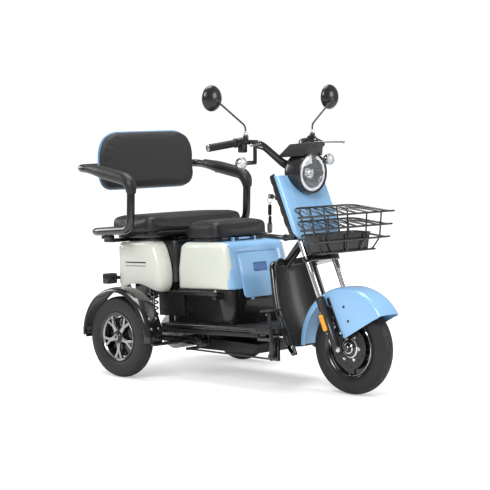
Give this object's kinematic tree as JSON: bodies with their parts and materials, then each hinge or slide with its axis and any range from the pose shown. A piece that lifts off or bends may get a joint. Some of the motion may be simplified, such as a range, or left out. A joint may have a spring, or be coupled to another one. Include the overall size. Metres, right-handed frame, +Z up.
{
  "type": "adult tricycle",
  "caption": "Three-wheeled two-seat electric scooter with step-through floor, basket, padded bench, hoop armrests and opening seats.",
  "frame": {"origin": "on the ground under the middle of the outline", "axes": "+X forward, +Y to the rider's left, +Z up"},
  "size_m": [1.5518, 0.849, 1.295],
  "materials": {
    "painted_black": "gloss black enamel",
    "black_plastic": "grained black moulding",
    "blue_plastic": "gloss sky blue",
    "cream_plastic": "gloss off-white",
    "vinyl": "fine-grained black vinyl",
    "rubber": "matt black rubber",
    "tyre": "black tyre",
    "chrome": "bright chrome",
    "steel": "zinc-plated steel",
    "alloy": "cast alloy",
    "amber_lens": "clear amber",
    "battery_case": "plain case",
    "lamp_glass": "clear lamp glass"
  },
  "bodies": {
    "chassis": {"main_frame": "painted_black", "floorboard": "black_plastic", "leg_shield": "black_plastic", "front_shell": "blue_plastic", "side_panel_right": "cream_plastic", "side_panel_left": "cream_plastic", "lower_skirt": "black_plastic", "battery_pack": "battery_case", "rear_panel_right": "cream_plastic", "rear_panel_left": "cream_plastic", "rear_body_core": "black_plastic", "seat_hoop": "painted_black", "armrest_pad_right": "vinyl", "armrest_pad_left": "vinyl", "backrest_shell": "blue_plastic", "backrest_cushion": "vinyl", "tail_lamps": "black_plastic", "shock_springs": "steel"},
    "front_seat": {"front_seat_base": "black_plastic", "front_seat_cushion": "vinyl"},
    "rear_seat": {"rear_seat_base": "black_plastic", "rear_seat_cushion": "vinyl"},
    "battery_door": {"battery_door": "blue_plastic"},
    "footrest_right": {"footrest_right": "steel"},
    "footrest_left": {"footrest_left": "steel"},
    "brake_pedal": {"brake_pedal": "steel"},
    "rear_axle": {"swing_arm": "painted_black", "drive_unit": "alloy", "rear_fender_right": "black_plastic", "rear_fender_left": "black_plastic"},
    "shock_rods": {"shock_rods": "chrome"},
    "rear_wheel_right": {"rear_tyre_right": "tyre", "rear_rim_right": "alloy"},
    "rear_wheel_left": {"rear_tyre_left": "tyre", "rear_rim_left": "alloy"},
    "steering": {"fork_crowns": "painted_black", "fork_stanchions": "chrome", "handlebar": "painted_black", "grip_left": "rubber", "control_pods": "black_plastic", "headlamp_housing": "black_plastic", "headlamp_lens": "lamp_glass", "cowl": "black_plastic", "front_panel": "blue_plastic", "panel_back": "black_plastic", "basket": "painted_black", "basket_liner": "black_plastic", "turn_signals": "black_plastic"},
    "fork_lower": {"fork_sliders": "painted_black", "front_fender": "blue_plastic", "fork_reflectors": "amber_lens"},
    "front_wheel": {"front_tyre": "tyre", "front_rim": "alloy"},
    "throttle": {"throttle_grip": "rubber"},
    "brake_lever_right": {"brake_lever_right": "steel"},
    "brake_lever_left": {"brake_lever_left": "steel"},
    "mirror_right": {"mirror_right": "black_plastic"},
    "mirror_left": {"mirror_left": "black_plastic"},
    "key": {"key": "steel"},
    "key_fobs": {"key_fobs": "black_plastic"}
  },
  "joints": [
    {"name": "steer", "type": "hinge", "parent": "chassis", "child": "steering", "pos_m": [0.31806, 0, 0.62827], "axis": [-0.4258, 0, 0.9048], "range_deg": [-36, 36]},
    {"name": "fork_travel", "type": "slide", "parent": "steering", "child": "fork_lower", "axis": [-0.4258, 0, 0.9048], "range_m": [0, 0.055], "stiffness_N_per_m": 9000, "springref_m": -0.05},
    {"name": "front_wheel_spin", "type": "hinge", "parent": "fork_lower", "child": "front_wheel", "pos_m": [0.578, 0, 0.198], "axis": [0, 1, 0], "continuous": true},
    {"name": "rear_suspension", "type": "hinge", "parent": "chassis", "child": "rear_axle", "pos_m": [-0.134, 0, 0.17], "axis": [0, 1, 0], "range_deg": [0, 4.6], "stiffness_Nm_per_rad": 2500, "springref_deg": -11.46},
    {"name": "shock_slide", "type": "slide", "parent": "chassis", "child": "shock_rods", "axis": [0, 0, 1], "range_m": [0, 0.0222], "deforming": ["shock_springs"]},
    {"name": "rear_wheel_right_spin", "type": "hinge", "parent": "rear_axle", "child": "rear_wheel_right", "pos_m": [-0.464, -0.3735, 0.18], "axis": [0, 1, 0], "continuous": true},
    {"name": "rear_wheel_left_spin", "type": "hinge", "parent": "rear_axle", "child": "rear_wheel_left", "pos_m": [-0.464, 0.3735, 0.18], "axis": [0, 1, 0], "continuous": true},
    {"name": "front_seat_lift", "type": "hinge", "parent": "chassis", "child": "front_seat", "pos_m": [-0.07649, 0, 0.61988], "axis": [0, 1, 0], "range_deg": [0, 75]},
    {"name": "rear_seat_lift", "type": "hinge", "parent": "chassis", "child": "rear_seat", "pos_m": [-0.351, 0, 0.62252], "axis": [0, 1, 0], "range_deg": [0, 50]},
    {"name": "battery_door_tilt", "type": "hinge", "parent": "chassis", "child": "battery_door", "pos_m": [0.05685, 0, 0.36852], "axis": [0, 1, 0], "range_deg": [0, 30]},
    {"name": "footrest_right_fold", "type": "hinge", "parent": "chassis", "child": "footrest_right", "pos_m": [-0.03444, -0.214, 0.39077], "axis": [-0.0523, 0, 0.9986], "range_deg": [0, 85]},
    {"name": "footrest_left_fold", "type": "hinge", "parent": "chassis", "child": "footrest_left", "pos_m": [-0.03444, 0.214, 0.39077], "axis": [0.0523, 0, -0.9986], "range_deg": [0, 85]},
    {"name": "brake_pedal_press", "type": "hinge", "parent": "chassis", "child": "brake_pedal", "pos_m": [0.331, -0.243, 0.158], "axis": [0, 1, 0], "range_deg": [0, 14], "stiffness_Nm_per_rad": 30, "springref_deg": -8.59},
    {"name": "throttle_twist", "type": "hinge", "parent": "steering", "child": "throttle", "pos_m": [0.118, -0.24, 1.05], "axis": [-0.4217, -0.8921, -0.1622], "range_deg": [0, 60], "stiffness_Nm_per_rad": 0.5, "springref_deg": -17.19},
    {"name": "brake_lever_right_pull", "type": "hinge", "parent": "steering", "child": "brake_lever_right", "pos_m": [0.191, -0.176, 1.046], "axis": [0, 0, -1], "range_deg": [0, 20], "stiffness_Nm_per_rad": 5, "springref_deg": -11.46},
    {"name": "brake_lever_left_pull", "type": "hinge", "parent": "steering", "child": "brake_lever_left", "pos_m": [0.191, 0.176, 1.046], "axis": [0, 0, 1], "range_deg": [0, 20], "stiffness_Nm_per_rad": 5, "springref_deg": -11.46},
    {"name": "mirror_right_swivel", "type": "hinge", "parent": "steering", "child": "mirror_right", "pos_m": [0.144, -0.208, 1.078], "axis": [0, 0, 1], "range_deg": [-25, 25]},
    {"name": "mirror_left_swivel", "type": "hinge", "parent": "steering", "child": "mirror_left", "pos_m": [0.144, 0.208, 1.078], "axis": [0, 0, 1], "range_deg": [-25, 25]},
    {"name": "key_turn", "type": "hinge", "parent": "steering", "child": "key", "pos_m": [0.2, -0.075, 0.818], "axis": [1, 0, 0], "range_deg": [0, 40]},
    {"name": "key_fob_hang", "type": "hinge", "parent": "key", "child": "key_fobs", "pos_m": [0.158, -0.075, 0.818], "axis": [1, 0, 0], "range_deg": [-40, 0]}
  ],
  "couplings": [
    {"joint": "shock_slide", "follows": "rear_suspension", "m_per_rad": 0.276},
    {"joint": "key_fob_hang", "follows": "key_turn", "ratio": -1}
  ]
}
